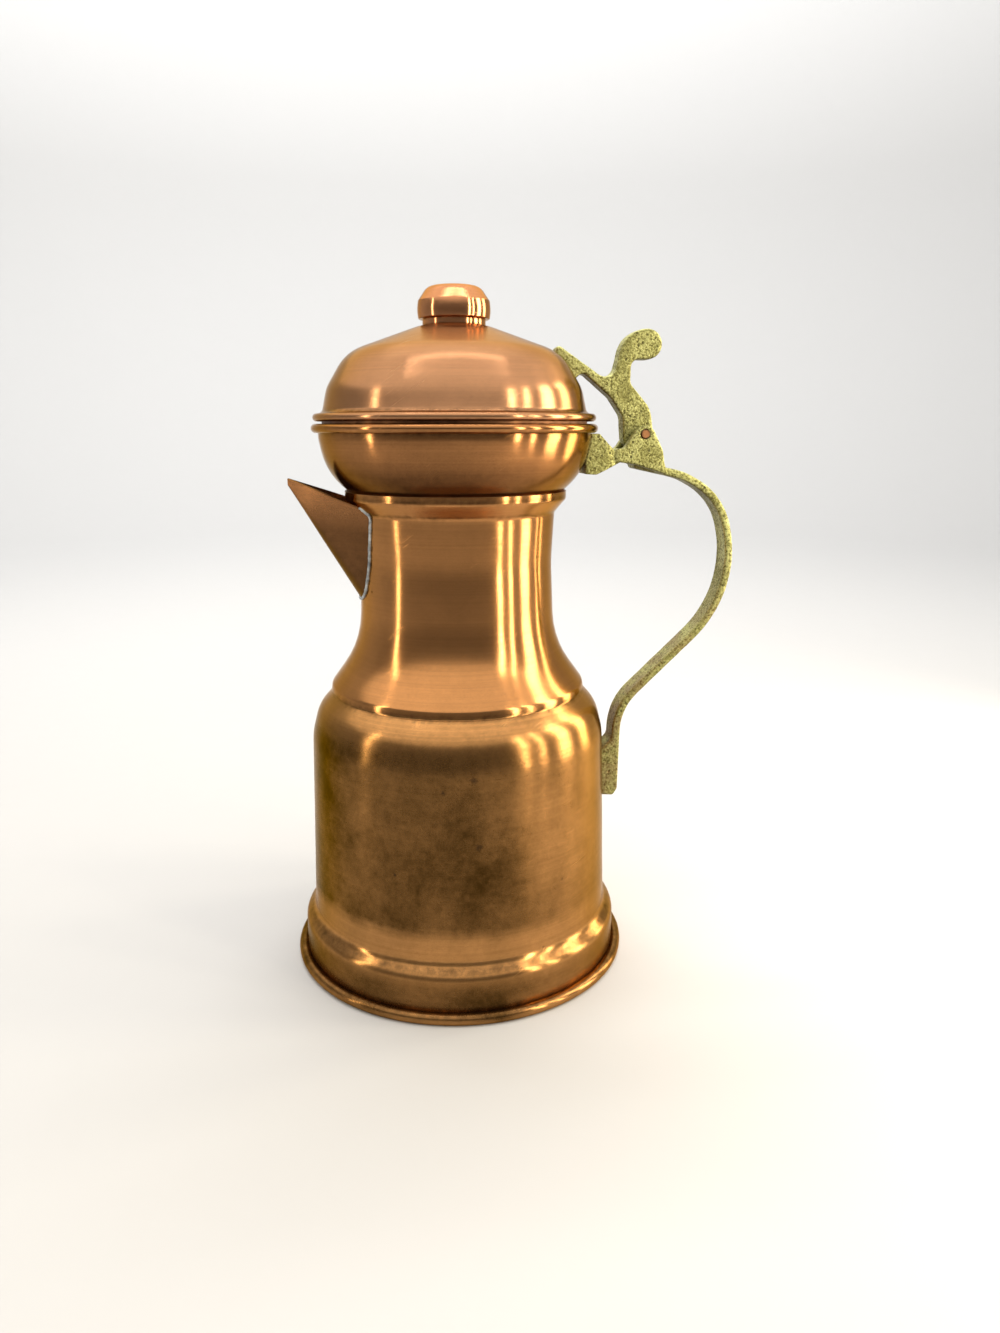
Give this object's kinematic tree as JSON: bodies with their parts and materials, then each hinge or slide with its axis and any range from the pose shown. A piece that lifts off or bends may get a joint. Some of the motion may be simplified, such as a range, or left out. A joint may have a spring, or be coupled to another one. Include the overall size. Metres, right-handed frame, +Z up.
{
  "type": "lidded pitcher",
  "caption": "Copper pitcher with a stepped foot, waisted neck, bowl-shaped top, folded beak spout, cast brass strap handle, and a domed lid that lifts on a thumb-lever hinge.",
  "frame": {"origin": "middle of the base, on the surface that the pitcher stands on", "axes": "+Z up along the vessel's axis, +X towards the handle and hinge, -X towards the spout"},
  "size_m": [0.1903, 0.1446, 0.279],
  "materials": {
    "body_copper": "polished copper with a slight tarnish",
    "neck_copper": "polished copper with fine spinning lines",
    "bowl_copper": "polished copper",
    "spout_copper": "satin copper sheet",
    "lid_copper": "polished copper, a little pinker",
    "knob_copper": "polished turned copper",
    "pin_copper": "worn copper",
    "rivet_copper": "hammered copper",
    "raw_copper": "dull unpolished copper",
    "cast_brass": "sand-cast brass, speckled and unpolished",
    "iron_wire": "dark drawn iron",
    "tin_solder": "grey wiped tin"
  },
  "bodies": {
    "vessel": {"body": "body_copper", "bottom_plate": "raw_copper", "foot_rim_wire": "iron_wire", "neck": "neck_copper", "bowl": "bowl_copper", "bowl_rim_wire": "iron_wire", "spout": "spout_copper", "spout_solder": "tin_solder", "handle": "cast_brass", "handle_bowl_rivets": "rivet_copper", "handle_belly_rivets": "rivet_copper", "hinge_pin": "pin_copper"},
    "lid": {"lid_dome": "lid_copper", "lid_rim_wire": "iron_wire", "lid_bezel": "raw_copper", "knob": "knob_copper", "knob_stud": "rivet_copper", "knob_washer": "rivet_copper", "thumb_lever": "cast_brass", "lever_rivets": "rivet_copper"}
  },
  "joints": [
    {"name": "lid_hinge", "type": "hinge", "parent": "vessel", "child": "lid", "pos_m": [0.0767, 0, 0.2226], "axis": [0, 1, 0], "range_deg": [0, 110]}
  ]
}
